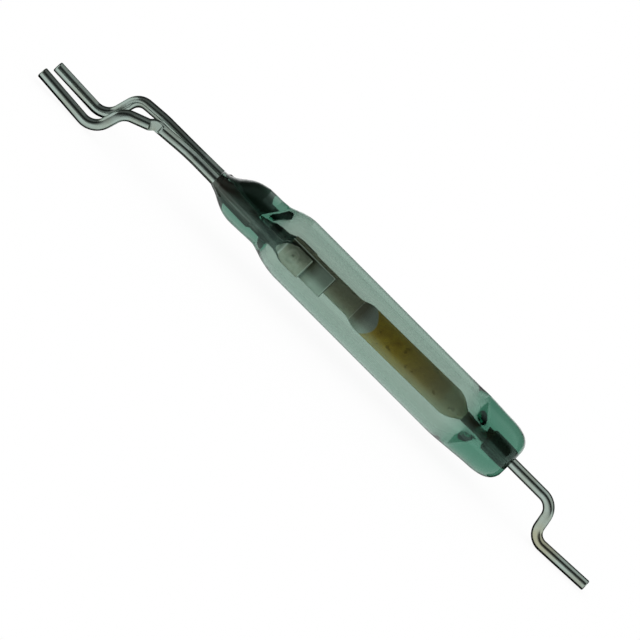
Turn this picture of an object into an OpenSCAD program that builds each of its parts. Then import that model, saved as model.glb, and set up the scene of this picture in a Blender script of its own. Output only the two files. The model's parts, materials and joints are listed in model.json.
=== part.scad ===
// Changeover reed sensor in a glass capsule, with three leads bent as gull wings to stand on a board.
// Millimetres. +X runs along the glass towards the single common lead, +Z is up, and the three heels
// rest on z = 0. The normally closed lead is on the -Y side and the normally open lead on the +Y side.

/* [Glass capsule] */
// Length of the glass over both sealed ends
glass_len = 14.73; // [12:0.01:18]
// Outside diameter of the tube
glass_d = 2.5; // [2.3:0.01:3]
// Wall of the tube round the cavity
glass_wall = 0.27; // [0.2:0.01:0.4]
// Diameter of the necked seal round the pair of leads
neck_d = 1.87; // [1.7:0.01:2.1]
// Length of solid glass round the pair of leads
pair_seal = 2; // [1.8:0.01:3]
// Length of solid glass round the common lead
common_seal = 1.06; // [0.9:0.01:1.6]
// Length over which the tube narrows into the neck
neck_run = 1.29; // [0.8:0.01:1.6]
// Straight part of the neck behind the pointed end
neck_straight = 0.72; // [0.3:0.01:0.9]
// Length of the pointed end that closes on the pair of leads
point_run = 1.65; // [1.2:0.01:2.2]
// Height of the glass where the pair of leads comes out
point_h = 0.56; // [0.5:0.01:0.8]
// Glass beside each lead of the pair where it comes out
point_side = 0.07; // [0.05:0.01:0.15]
// Length over which the cavity closes down like a funnel on the pair of leads
pair_funnel = 2.4; // [1.6:0.01:2.8]
// Length over which the cavity closes down like a funnel on the common lead
common_funnel = 2; // [1.4:0.01:2.4]
// Diameter of the blunt end where its rounding starts
blunt_d = 2.24; // [2.05:0.01:2.4]
// Length over which the tube tapers to the blunt end
blunt_run = 2.06; // [1.5:0.01:2.6]
// Rounding of the blunt end
blunt_r = 0.72; // [0.4:0.01:0.8]

/* [Leads] */
// Diameter of the lead wire
wire_d = 0.43; // [0.36:0.01:0.48]
// Distance between the centres of the pair where it leaves the glass
pair_gap = 0.88; // [0.8:0.01:1]
// How far the pair lies below the glass axis where it leaves the glass
pair_drop = 0.15; // [0:0.01:0.25]
// How far the normally open lead's paddle lies below the glass axis
no_paddle_drop = 0.04; // [0:0.01:0.25]
// How far the common lead lies above the glass axis
common_rise = 0.1; // [0:0.01:0.25]
// Small bevel at the sheared end of each lead
end_bevel = 0.03; // [0.01:0.01:0.06]

/* [Bends of the pair] */
// Glass to the point where the normally open lead levels out
level_out = 0.3; // [0.2:0.01:0.6]
// Glass to the point where the pair starts to spread
spread_out = 1.3; // [0.9:0.01:1.5]
// Glass to the point where the normally closed lead spreads more steeply
nc_kink_out = 2.62; // [2.4:0.01:2.75]
// Glass to the point where the normally open lead spreads more steeply
no_kink_out = 2.83; // [2.5:0.01:3.1]
// Distance between the centres of the pair at those points
kink_gap = 1.5; // [1.3:0.01:1.7]
// Depth of the pair below the glass axis at those points
kink_drop = 0.2; // [0.16:0.01:0.35]
// Glass to the shoulder above the legs
shoulder_out = 4.02; // [3.8:0.01:4.3]
// Distance between the centres of the pair at the shoulder
shoulder_gap = 2.4; // [2.2:0.01:2.6]
// Depth of the normally closed lead's shoulder below the glass axis
nc_shoulder_drop = 0.62; // [0.45:0.01:0.7]
// Depth of the normally open lead's shoulder below the glass axis
no_shoulder_drop = 0.43; // [0.35:0.01:0.6]
// Glass to the heel below the legs
heel_out = 4.39; // [4.3:0.01:4.7]
// Distance between the centres of the pair at the heels
heel_gap = 2.54; // [2.3:0.01:2.8]
// Depth of the heels' bend point below the glass axis
heel_drop = 1.87; // [1.75:0.01:2.2]
// Glass to the end of the normally closed foot
nc_toe_out = 7.15; // [6.5:0.01:8]
// Glass to the end of the normally open foot
no_toe_out = 6.94; // [6.4:0.01:8]
// Distance that the normally closed foot turns inwards by its end
nc_toe_in = 0.19; // [0:0.01:0.3]
// Distance that the normally open foot turns inwards by its end
no_toe_in = 0.18; // [0:0.01:0.3]
// Rise of a foot of the pair from its heel to its end
pair_toe_lift = 0.15; // [0.05:0.01:0.25]
// Radius of the first, gentle bend
spread_r = 4; // [2:0.1:5]
// Radius of the second bend
kink_r = 1.5; // [0.8:0.1:2]
// Radius of the shoulder bends
shoulder_r = 0.62; // [0.5:0.01:0.7]
// Radius of the heel bends
heel_r = 0.72; // [0.5:0.01:0.78]

/* [Coined flat on the normally closed lead] */
// Glass to the middle of the flat
flat_out = 2.9; // [2.7:0.01:3.25]
// Length of the flat
flat_len = 0.36; // [0.3:0.01:0.45]
// Thickness left in the flat
flat_t = 0.2; // [0.15:0.01:0.3]
// Radius of the die's edges at the ends of the flat
flat_r = 0.1; // [0.05:0.01:0.12]

/* [Bends of the common lead] */
// Glass to the shoulder of the common lead
common_shoulder_out = 2.15; // [1.8:0.01:2.3]
// Glass to the heel of the common lead
common_heel_out = 2.41; // [2.3:0.01:2.7]
// Depth of the heel's bend point below the glass axis
common_heel_drop = 1.31; // [1.1:0.01:1.7]
// Glass to the end of the common foot
common_toe_out = 5.02; // [4.4:0.01:6]
// Rise of the common foot from its heel to its end
common_toe_lift = 0.13; // [0.08:0.01:0.25]
// Radius of both bends of the common lead
common_bend_r = 0.5; // [0.35:0.01:0.52]

/* [Contacts] */
// Cavity end to the start of the flattened paddles
paddle_in = 1.2; // [0.7:0.01:1.4]
// Length of the paddles with their shoulders
paddle_len = 1.36; // [1.1:0.01:1.6]
// Width of the paddles
paddle_w = 0.88; // [0.75:0.01:1]
// Thickness of the paddles
paddle_t = 0.16; // [0.12:0.01:0.2]
// Length of the shoulder where the round wire becomes flat
paddle_shoulder = 0.26; // [0.15:0.01:0.4]
// Start of the paddles to the start of the welded contact pad
pad_in = 0.28; // [0.27:0.01:0.4]
// Length of the welded contact pad
pad_len = 2.12; // [1.8:0.01:2.5]
// Width of the welded contact pad
pad_w = 0.94; // [0.8:0.01:1]
// Thickness of the welded contact pad
pad_t = 0.1; // [0.06:0.01:0.14]
// Open gap between the reed and the normally open paddle
contact_gap = 0.1; // [0.06:0.01:0.14]

/* [Reed] */
// Start of the paddles to the tip of the reed
tip_in = 0.34; // [0.28:0.01:0.6]
// Height of the reed's tip above the glass axis
tip_rise = 0; // [-0.1:0.01:0.1]
// Width of the stiff contact part of the reed
blade_w = 0.84; // [0.7:0.01:0.95]
// Thickness of the stiff contact part of the reed
blade_t = 0.17; // [0.13:0.01:0.2]
// Length over which the stiff part widens into the spring
blade_taper = 0.61; // [0.4:0.01:0.9]
// Width of the spring part
spring_w = 1.05; // [0.9:0.01:1.2]
// Thickness of the spring part
spring_t = 0.12; // [0.08:0.01:0.15]
// Length of the spring part
spring_len = 4.31; // [3.5:0.01:4.8]
// Length over which the spring narrows into the round lead
root_taper = 0.7; // [0.5:0.01:1]
// Round lead between the cavity's end and the root of the reed
root_lead = 1.36; // [1:0.01:1.6]
// Root of the spring to the line about which the reed bends
bend_line = 1.9; // [1.2:0.01:2.4]

/* [Hidden] */

// Fineness: sides of a round wire, of the glass, of a flattened section, and steps of a curve
WIRE_FN = 32;
GLASS_FN = 64;
LOFT_SIDES = 24;
POINT_SIDES = 40;
CURVE_STEPS = 12;
// Pressed and bent stretches are this much fuller than the drawn wire, and the wire runs this far into them
SWELL = 0.003;
LAP = 0.03;
// Passes of the levelling rule, which settles in three
LEVEL_PASSES = 6;
NC = -1;
NO = 1;

wire_r = wire_d / 2;
round_w = (wire_d + 2 * SWELL) / cos(180 / LOFT_SIDES);
glass_r = glass_d / 2;
bore_r = glass_r - glass_wall;
neck_r = neck_d / 2;
pair_end = -glass_len / 2;
common_end = glass_len / 2;
cavity_a = pair_end + pair_seal;
cavity_b = common_end - common_seal;
paddle_a = cavity_a + paddle_in;
reed_tip = paddle_a + tip_in;
round_b = cavity_b - root_lead;
spring_b = round_b - root_taper;
spring_a = spring_b - spring_len;
blade_b = spring_a - blade_taper;
hinge_x = spring_b - bend_line;

// Inner faces of the two paddles, on either side of the reed
nc_face = blade_t / 2 + pad_t;
no_face = blade_t / 2 + contact_gap;

function unit(v) = v / norm(v);
function smooth(u) = u <= 0 ? 0 : u >= 1 ? 1 : u * u * (3 - 2 * u);
function mix(a, b, u) = a + (b - a) * u;

// Paths of the three leads, as the corners of their bends, in the capsule's own frame
function pair_bends(side, kink_out, shoulder_drop, toe_out, toe_in) = [
    [pair_end - spread_out, side * pair_gap / 2, -pair_drop],
    [pair_end - kink_out, side * kink_gap / 2, -kink_drop],
    [pair_end - shoulder_out, side * shoulder_gap / 2, -shoulder_drop],
    [pair_end - heel_out, side * heel_gap / 2, -heel_drop],
    [pair_end - toe_out, side * (heel_gap / 2 - toe_in), pair_toe_lift - heel_drop]];
nc_path = concat([[paddle_a, NC * pair_gap / 2, -pair_drop]],
                 pair_bends(NC, nc_kink_out, nc_shoulder_drop, nc_toe_out, nc_toe_in));
no_path = concat([[paddle_a, NO * pair_gap / 2, -no_paddle_drop],
                  [pair_end - level_out, NO * pair_gap / 2, -pair_drop]],
                 pair_bends(NO, no_kink_out, no_shoulder_drop, no_toe_out, no_toe_in));
nc_radii = [0, spread_r, kink_r, shoulder_r, heel_r, 0];
no_radii = [0, spread_r, spread_r, kink_r, shoulder_r, heel_r, 0];
common_path = [
    [round_b, 0, common_rise],
    [common_end + common_shoulder_out, 0, common_rise],
    [common_end + common_heel_out, 0, -common_heel_drop],
    [common_end + common_toe_out, 0, common_toe_lift - common_heel_drop]];
common_radii = [0, common_bend_r, common_bend_r, 0];

// One bend: its directions, the angle it turns through, and the length of straight it uses up
function way_in(path, k) = unit(path[k] - path[k - 1]);
function way_out(path, k) = unit(path[k + 1] - path[k]);
function turn(path, k) = acos(way_in(path, k) * way_out(path, k));
function used(path, radii, k) = radii[k] == 0 ? 0 : radii[k] * tan(turn(path, k) / 2);
function arc_centre(path, radii, k) =
    path[k] + unit(way_out(path, k) - way_in(path, k)) * radii[k] / cos(turn(path, k) / 2);

// How far the wire at bend k reaches along the direction d
function bend_reach(path, radii, k, d) =
    let (n = unit(cross(way_in(path, k), way_out(path, k))), along = d - n * (d * n))
    arc_centre(path, radii, k) * d + radii[k] * norm(along) + wire_r + SWELL;

// Lean of the capsule at which the heels of the pair and of the common lead are level
function down(lean) = [sin(lean), 0, -cos(lean)];
KINK = 2;
PAIR_HEEL = 4;
COMMON_HEEL = 2;
function pair_depth(lean) = bend_reach(nc_path, nc_radii, PAIR_HEEL, down(lean));
function common_depth(lean) = bend_reach(common_path, common_radii, COMMON_HEEL, down(lean));
heel_span = common_path[COMMON_HEEL][0] - nc_path[PAIR_HEEL][0];
function levelled(lean, passes) = passes == 0 ? lean :
    levelled(lean + atan((pair_depth(lean) - common_depth(lean)) / heel_span), passes - 1);
lean = levelled(0, LEVEL_PASSES);
stand_h = common_depth(lean);

// Middle of the whole length, from the furthest points of the two end faces
function tilted(p) = [p[0] * cos(lean) + p[2] * sin(lean), p[1], p[2] * cos(lean) - p[0] * sin(lean)];
function end_reach(path, sign) =
    let (last = len(path) - 1, way = tilted(unit(path[last] - path[last - 1])),
         bevelled = tilted(path[last] - unit(path[last] - path[last - 1]) * end_bevel))
    max(sign * bevelled[0] + wire_r * sqrt(1 - way[0] * way[0]),
        sign * tilted(path[last])[0] + (wire_r - end_bevel) * sqrt(1 - way[0] * way[0]));
reach_pair = max(end_reach(nc_path, -1), end_reach(no_path, -1));
reach_common = end_reach(common_path, 1);
mid_x = (reach_common - reach_pair) / 2;

// Stands the capsule, leaning as its leads hold it, with its middle over the origin
module stand() {
    translate([-mid_x, 0, stand_h])
        rotate([0, lean, 0])
            children();
}

// Places children with their Z axis along a unit vector
module aim(origin, way) {
    side = unit(abs(way[1]) < abs(way[2]) ? cross([0, 1, 0], way) : cross([0, 0, 1], way));
    up = cross(way, side);
    multmatrix([[side[0], up[0], way[0], origin[0]],
                [side[1], up[1], way[1], origin[1]],
                [side[2], up[2], way[2], origin[2]],
                [0, 0, 0, 1]])
        children();
}

// Straight piece of wire from corner k to corner k + 1, bevelled where it is the end of the lead
module straight(path, radii, k) {
    way = way_out(path, k);
    last = k + 2 == len(path);
    start = used(path, radii, k) - (k == 0 ? 0 : LAP);
    stop = norm(path[k + 1] - path[k]) - (last ? end_bevel : used(path, radii, k + 1) - LAP);
    aim(path[k] + way * start, way) {
        cylinder(h = stop - start, r = wire_r, $fn = WIRE_FN);
        if (last) translate([0, 0, stop - start])
            cylinder(h = end_bevel, r1 = wire_r, r2 = wire_r - end_bevel, $fn = WIRE_FN);
    }
}

// Round bend of wire at corner k
module bend(path, radii, k) {
    centre = arc_centre(path, radii, k);
    along = way_in(path, k);
    out = unit(path[k] - along * used(path, radii, k) - centre);
    normal = cross(out, along);
    multmatrix([[out[0], along[0], normal[0], centre[0]],
                [out[1], along[1], normal[1], centre[1]],
                [out[2], along[2], normal[2], centre[2]],
                [0, 0, 0, 1]])
        rotate_extrude(angle = turn(path, k), $fn = GLASS_FN)
            translate([radii[k], 0])
                circle(r = wire_r + SWELL, $fn = WIRE_FN);
}

module bent_wire(path, radii) {
    for (k = [0 : len(path) - 2]) straight(path, radii, k);
    for (k = [1 : len(path) - 2]) bend(path, radii, k);
}

// Outline of pressed wire: flat faces w wide over all and t apart, with fully round edges
function pressed(w, t, sides) = [for (i = [0 : sides - 1])
    let (a = (i + 0.5) * 360 / sides)
    [t / 2 * cos(a), t / 2 * sin(a) + sign(sin(a)) * (w - t) / 2]];

// Skin through rings that all have the same number of points
module loft(rings) {
    sides = len(rings[0]);
    last = len(rings) - 1;
    points = [for (ring = rings) each ring];
    walls = [for (r = [0 : last - 1]) for (i = [0 : sides - 1])
        let (j = (i + 1) % sides)
        each [[r * sides + i, (r + 1) * sides + j, r * sides + j],
              [r * sides + i, (r + 1) * sides + i, (r + 1) * sides + j]]];
    caps = [[for (i = [0 : sides - 1]) i], [for (i = [sides - 1 : -1 : 0]) last * sides + i]];
    polyhedron(points = points, faces = concat(walls, caps), convexity = 6);
}

// Ring of a pressed section at x, centred on y and z; the rings run towards +X
function ring_at(x, y, z, w, t) = [for (p = pressed(w, t, LOFT_SIDES)) [x, y + p[0], z + p[1]]];

// Flattened end of a lead of the pair, pressed from the round wire and set over towards the reed
// The pressing thins it over one shoulder length and lets it spread over SPREAD of them
SPREAD = 2.6;
function paddle_ring(side, face, drop, x) =
    let (flat = smooth(x / paddle_shoulder),
         wide = sin(90 * max(0, min(1, x / (SPREAD * paddle_shoulder)))),
         t = mix(round_w, paddle_t, flat))
    ring_at(paddle_a + x, side * mix(pair_gap / 2, face + paddle_t / 2, flat), -drop,
            max(t, mix(round_w, paddle_w, wide)), t);
module paddle(side, face, drop) {
    shoulder = [for (i = [0 : CURVE_STEPS]) SPREAD * paddle_shoulder * i / CURVE_STEPS];
    loft([for (x = concat([-LAP], shoulder, [paddle_len])) paddle_ring(side, face, drop, x)]);
}

// Centre height of the reed at x, on the line from the lead to the reed's tip
function reed_z(x) = mix(tip_rise, common_rise, (x - reed_tip) / (round_b - reed_tip));

// Root of the reed: round lead pressed out into the thin, wide spring
function root_ring(x) =
    let (u = smooth((x - spring_b) / root_taper), t = mix(spring_t, round_w, u))
    ring_at(x, 0, reed_z(min(x, round_b)), max(t, mix(spring_w, round_w, u)), t);
// Front of the reed: the spring narrows and thickens into the stiff contact part
function blade_ring(x) =
    let (u = smooth((x - blade_b) / blade_taper))
    ring_at(x, 0, reed_z(x), mix(blade_w, spring_w, u), mix(blade_t, spring_t, u));

// Oval section of the pointed seal: a half height, b half depth, c height of its centre
function oval(x, a, b, c, power) = [for (i = [0 : POINT_SIDES - 1])
    let (t = (i + 0.5) * 360 / POINT_SIDES, k = 2 / power)
    [x, b * sign(cos(t)) * pow(abs(cos(t)), k), c + a * sign(sin(t)) * pow(abs(sin(t)), k)]];
// Shape of the pointed end: how full it is between its tip and the neck, and how square the tip is
POINT_FULLNESS = 0.77;
POINT_SQUARENESS = 0.8;
point_b = (pair_gap + wire_d) / 2 + point_side;
function point_ring(u) =
    let (f = smooth(pow(u, POINT_FULLNESS)))
    oval(pair_end + u * point_run, mix(point_h / 2, neck_r - SWELL, f), mix(point_b, neck_r - SWELL, f),
         -pair_drop * (1 - f), 2 + POINT_SQUARENESS * (1 - f));

// Half outline of the tube, neck and blunt end, as radius against length
neck_a = pair_end + point_run;
neck_b = neck_a + neck_straight;
tube_a = neck_b + neck_run;
blunt_side = common_end - blunt_r;
function blunt_at(x) = mix(glass_r, blunt_d / 2, (x - (blunt_side - blunt_run)) / blunt_run);
outline = concat(
    [[0, neck_a], [neck_r, neck_a]],
    [for (i = [0 : CURVE_STEPS]) [mix(neck_r, glass_r, smooth(i / CURVE_STEPS)),
                                  mix(neck_b, tube_a, i / CURVE_STEPS)]],
    [[glass_r, blunt_side - blunt_run]],
    [for (i = [0 : CURVE_STEPS]) [blunt_d / 2 - blunt_r * (1 - cos(90 * i / CURVE_STEPS)),
                                  blunt_side + blunt_r * sin(90 * i / CURVE_STEPS)]],
    [[0, common_end]]);
// How bluntly each funnel of the cavity closes
PAIR_POWER = 2.4;
COMMON_POWER = 2;
function funnel(u, power) = bore_r * (1 - pow(1 - u, power));
cavity = concat(
    [for (i = [0 : CURVE_STEPS]) [funnel(i / CURVE_STEPS, PAIR_POWER),
                                  cavity_a + pair_funnel * i / CURVE_STEPS]],
    [for (i = [CURVE_STEPS : -1 : 0]) [funnel(i / CURVE_STEPS, COMMON_POWER),
                                       cavity_b - common_funnel * i / CURVE_STEPS]]);

// Turns a half outline about the X axis
module turned(half) {
    rotate([0, 90, 0])
        rotate_extrude($fn = GLASS_FN)
            polygon(half);
}

// Place of a lead in the glass: the first straight of its path
module seal_bore(path) {
    aim(path[0], way_out(path, 0))
        cylinder(h = norm(path[1] - path[0]), r = wire_r, $fn = WIRE_FN);
}

module glass_capsule() color([0.5, 0.7, 0.62, 0.45]) stand() difference() {
    union() {
        turned(outline);
        loft([for (i = [0 : CURVE_STEPS + 1]) point_ring(i / CURVE_STEPS)]);
    }
    turned(cavity);
    for (path = [nc_path, no_path, common_path]) seal_bore(path);
}

// Mark of one die, as length along the wire against height over its middle: flat, with round ends
DIE_STEPS = 4;
die_mark = concat(
    [[-flat_len / 2 - flat_r, flat_t / 2 + wire_d]],
    [for (i = [0 : DIE_STEPS]) [-flat_len / 2 - flat_r * cos(90 * i / DIE_STEPS),
                                flat_t / 2 + flat_r * (1 - sin(90 * i / DIE_STEPS))]],
    [for (i = [DIE_STEPS : -1 : 0]) [flat_len / 2 + flat_r * cos(90 * i / DIE_STEPS),
                                     flat_t / 2 + flat_r * (1 - sin(90 * i / DIE_STEPS))]],
    [[flat_len / 2 + flat_r, flat_t / 2 + wire_d]]);
// Two die marks that leave a thin web across the wire
module coined_flat() {
    way = way_out(nc_path, KINK);
    side = unit(cross(way, [0, 0, 1]));
    up = cross(side, way);
    centre = mix(nc_path[KINK], nc_path[KINK + 1], (flat_out - nc_kink_out) / (shoulder_out - nc_kink_out));
    multmatrix([[way[0], side[0], up[0], centre[0]],
                [way[1], side[1], up[1], centre[1]],
                [way[2], side[2], up[2], centre[2]],
                [0, 0, 0, 1]])
        for (face = [0, 1])
            mirror([0, face, 0])
                translate([0, 0, -wire_d])
                    linear_extrude(2 * wire_d)
                        polygon(die_mark);
}

module normally_closed_lead() color("silver") stand() {
    difference() {
        bent_wire(nc_path, nc_radii);
        coined_flat();
    }
    paddle(NC, nc_face, pair_drop);
}

module normally_open_lead() color("silver") stand() {
    bent_wire(no_path, no_radii);
    paddle(NO, no_face, no_paddle_drop);
}

module nc_contact_pad() color("lightslategray") stand()
    translate([paddle_a + pad_in, -nc_face, -pair_drop - pad_w / 2])
        cube([pad_len, pad_t, pad_w]);

module common_lead() color("silver") stand() {
    bent_wire(common_path, common_radii);
    taper = [for (i = [0 : CURVE_STEPS]) mix(spring_b, round_b, i / CURVE_STEPS)];
    loft([for (x = concat([hinge_x], taper, [round_b + LAP])) root_ring(x)]);
}

module common_reed() color("darkkhaki") stand() {
    taper = [for (i = [0 : CURVE_STEPS]) mix(blade_b, spring_a, i / CURVE_STEPS)];
    loft([for (x = concat([reed_tip], taper, [hinge_x])) blade_ring(x)]);
}

glass_capsule();
normally_closed_lead();
normally_open_lead();
nc_contact_pad();
common_lead();
common_reed();
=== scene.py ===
import bpy
import json
import math
from mathutils import Matrix, Vector


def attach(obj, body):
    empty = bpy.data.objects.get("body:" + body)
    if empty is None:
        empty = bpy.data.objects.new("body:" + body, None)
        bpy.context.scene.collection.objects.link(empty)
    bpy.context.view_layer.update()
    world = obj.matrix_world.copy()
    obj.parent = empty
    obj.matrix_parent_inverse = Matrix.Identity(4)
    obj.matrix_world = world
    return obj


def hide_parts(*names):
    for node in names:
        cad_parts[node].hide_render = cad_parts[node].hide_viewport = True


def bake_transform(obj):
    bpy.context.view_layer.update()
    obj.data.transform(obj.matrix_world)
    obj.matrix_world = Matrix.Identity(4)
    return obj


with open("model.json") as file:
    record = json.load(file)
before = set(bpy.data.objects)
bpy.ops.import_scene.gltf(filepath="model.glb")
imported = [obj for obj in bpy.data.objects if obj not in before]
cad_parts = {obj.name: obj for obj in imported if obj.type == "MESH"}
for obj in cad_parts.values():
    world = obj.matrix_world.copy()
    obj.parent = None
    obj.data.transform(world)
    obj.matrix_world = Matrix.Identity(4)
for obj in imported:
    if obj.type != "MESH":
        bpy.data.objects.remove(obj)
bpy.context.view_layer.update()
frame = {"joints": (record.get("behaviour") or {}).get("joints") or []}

# How the capsule lies. The glass was modelled along its own axis, and its three bent leads then hold it a
# little off level. The joint's axis and anchor say how far it leans and where its middle came to stand.
MM = 0.001
BEND_LINE = (2.345, 0.0, 0.0708)  # the line about which the reed bends, in the capsule's own millimetres

swing = frame["joints"][0]
lean = Matrix.Rotation(math.atan2(-swing["axis"][0], -swing["axis"][2]), 4, "Y")
middle = Vector(swing["pos_m"]) - lean @ (Vector(BEND_LINE) * MM)


def stood(x, y, z):
    """Place in the row frame, in metres, of a point in the capsule's own millimetres."""
    return middle + lean @ (Vector((x, y, z)) * MM)


# The view. The switch lies on a white table. It is seen from its normally closed side and a little above,
# through a long lens that is turned so that the common lead points to the lower right.
ELEVATION = math.radians(14.3)
TURN = math.radians(43.72)
LENS = 800
SENSOR = 36
CAMERA_DISTANCE = 511.6
GLASS_MIDDLE = 0.045  # place along the axis of the half-way point of the glass
AIM_LEFT = 1.6626  # how far the view's middle lies to the left of the middle of the glass
AIM_UP = 0.0252  # and how far above it

level_right = Vector((1, 0, 0))
level_up = Vector((0, math.sin(ELEVATION), math.cos(ELEVATION)))
right = level_right * math.cos(TURN) + level_up * math.sin(TURN)
up = level_up * math.cos(TURN) - level_right * math.sin(TURN)
back = right.cross(up)
aim = stood(GLASS_MIDDLE, 0, 0) + (up * AIM_UP - right * AIM_LEFT) * MM
camera = bpy.data.objects.new("camera", bpy.data.cameras.new("camera"))
camera.data.lens = LENS
camera.data.sensor_width = SENSOR
camera.data.clip_start = 0.005
camera.data.clip_end = 50
camera.matrix_world = Matrix((right, up, back)).transposed().to_4x4()
camera.matrix_world.translation = aim + back * CAMERA_DISTANCE * MM
bpy.context.scene.collection.objects.link(camera)
bpy.context.scene.camera = camera
bpy.context.scene.view_settings.view_transform = "Standard"

# The studio. A white table stands in an evenly lit white tent. Cards sprayed from white to black lie round
# the switch, seen only as reflections, and give the wires and the glass their dark and light lines.
TABLE_SIZE = 1200


def linear(code):
    """Linear colour of an sRGB hex value."""
    parts = [int(code[i:i + 2], 16) / 255 for i in (0, 2, 4)]
    return [p / 12.92 if p <= 0.04045 else ((p + 0.055) / 1.055) ** 2.4 for p in parts] + [1.0]


def finish_named(name):
    """A new empty material and its node tree."""
    made = bpy.data.materials.new(name)
    made.use_nodes = True
    made.node_tree.nodes.clear()
    return made, made.node_tree


def add(tree, kind, feeds=None, out=0, **settings):
    """Adds a node and gives one of its outputs. A feed is a socket, a hex colour or a plain value."""
    node = tree.nodes.new(kind)
    for name, value in settings.items():
        setattr(node, name, value)
    for name, feed in (feeds or {}).items():
        if isinstance(feed, bpy.types.NodeSocket):
            tree.links.new(feed, node.inputs[name])
        else:
            node.inputs[name].default_value = linear(feed) if isinstance(feed, str) else feed
    return node.outputs[out] if len(node.outputs) > 0 else None


def put(name, points, faces, finish, smooth=True):
    """A mesh object in the row frame from points in metres."""
    mesh = bpy.data.meshes.new(name)
    mesh.from_pydata([tuple(p) for p in points], [], faces)
    mesh.materials.append(finish)
    if smooth:
        mesh.shade_smooth()
    made = bpy.data.objects.new(name, mesh)
    bpy.context.scene.collection.objects.link(made)
    return made


tent = bpy.data.worlds.new("white_tent")
tent.use_nodes = True
tent.node_tree.nodes.clear()
glow = add(tent.node_tree, "ShaderNodeBackground", {"Color": "FFFFFF", "Strength": 1.0})
add(tent.node_tree, "ShaderNodeOutputWorld", {"Surface": glow})
bpy.context.scene.world = tent

# White paper: plain white to the eye and in reflections, with a faint shadow of the switch on it.
PLAIN_WHITE = 0.92  # share of the table's white that no shadow reaches
table_white, tree = finish_named("matt white paper")
paper = add(tree, "ShaderNodeBsdfDiffuse", {"Color": "FFFFFF", "Roughness": 0.0})
light = add(tree, "ShaderNodeEmission", {"Color": "FFFFFF", "Strength": 1.0})
direct = add(tree, "ShaderNodeLightPath", out="Is Camera Ray")
mirrored = add(tree, "ShaderNodeLightPath", out="Is Glossy Ray")
through = add(tree, "ShaderNodeLightPath", out="Is Transmission Ray")
seen = add(tree, "ShaderNodeMath", {0: direct, 1: mirrored}, operation="MAXIMUM")
seen = add(tree, "ShaderNodeMath", {0: seen, 1: through}, operation="MAXIMUM")
share = add(tree, "ShaderNodeMath", {0: seen, 1: PLAIN_WHITE}, operation="MULTIPLY")
both = add(tree, "ShaderNodeMixShader", {0: share, 1: paper, 2: light})
add(tree, "ShaderNodeOutputMaterial", {"Surface": both})
half = TABLE_SIZE / 2 * MM
table = put("white_table", [(-half, -half, 0), (half, -half, 0), (half, half, 0), (-half, half, 0)],
            [(0, 1, 2, 3)], table_white, smooth=False)

# Card sprayed from white to black: only its reflection is seen, as a soft band along glass and wire.
card_grey, tree = finish_named("grey-shaded card")
shade = add(tree, "ShaderNodeAttribute", out="Fac", attribute_name="shade")
even = add(tree, "ShaderNodeEmission", {"Color": shade, "Strength": 1.0})
add(tree, "ShaderNodeOutputMaterial", {"Surface": even})


def long_card(name, x_from, x_to, profile, shown_through_glass=False):
    """A card along the switch that only reflections see.

    Its profile is rows of depth, height and shade, where a shade of 1 is the tent's white.
    """
    corners = [Vector((x, y, z)) * MM for y, z, shade in profile for x in (x_from, x_to)]
    faces = [(2 * k, 2 * k + 1, 2 * k + 3, 2 * k + 2) for k in range(len(profile) - 1)]
    made = put(name, corners, faces, card_grey, smooth=False)
    shades = made.data.attributes.new("shade", "FLOAT", "POINT")
    shades.data.foreach_set("value", [shade for y, z, shade in profile for x in (x_from, x_to)])
    made.visible_camera = False
    made.visible_diffuse = False
    made.visible_transmission = shown_through_glass
    made.visible_shadow = False


def over(degrees, shade):
    """Row of a card at an angle over the switch: 0 is level in front of it and 180 level behind it."""
    turn = math.radians(degrees)
    return (-CARD_AWAY * math.cos(turn), CARD_AWAY * math.sin(turn), shade)


CARD_HALF = 200  # how far the longest cards reach along the switch, each way
CARD_AWAY = 90  # radius of the half circle that the cards follow over the switch
CARD_LIFT = 0.2  # height over the table of the cards in front of the switch
UNDER_LIFT = 0.02  # and of those that lie under it
GLASS_FROM, GLASS_TO = -6.3, 8.5  # ends of the cards that the glass has to itself
TIP_FROM = -8.2  # end of the cards at the glass tip
PAIR_TO, COMMON_TO = -18, 16  # ends of the cards that lie under the leads

# Over the glass: bright table in front, a dark sky for clear green, and a pale strip from high behind.
GLASS_TABLE = [(-2.5, CARD_LIFT, 1.5), (-3.6, CARD_LIFT, 1.5), (-4.4, CARD_LIFT, 1.2),
               (-6.9, CARD_LIFT, 0.85), (-9.0, CARD_LIFT, 0.66), (-13.0, CARD_LIFT, 0.5),
               (-30.0, CARD_LIFT, 0.28), (-CARD_AWAY, CARD_LIFT, 0.17)]
GLASS_SKY = [over(4, 0.11), over(10, 0.067), over(25, 0.045), over(40, 0.04), over(57, 0.05), over(66, 0.17),
             over(73, 0.4), over(80, 0.5), over(100, 0.45), over(108, 0.55), over(140, 0.9)]
GLASS_BACK = [over(140, 0.9), over(150, 0.6), over(160, 0.25), over(178, 0.15)]
long_card("card_by_the_glass", GLASS_FROM, GLASS_TO, GLASS_TABLE + GLASS_SKY, True)
long_card("card_behind_the_glass", GLASS_FROM, GLASS_TO, GLASS_BACK)

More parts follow.
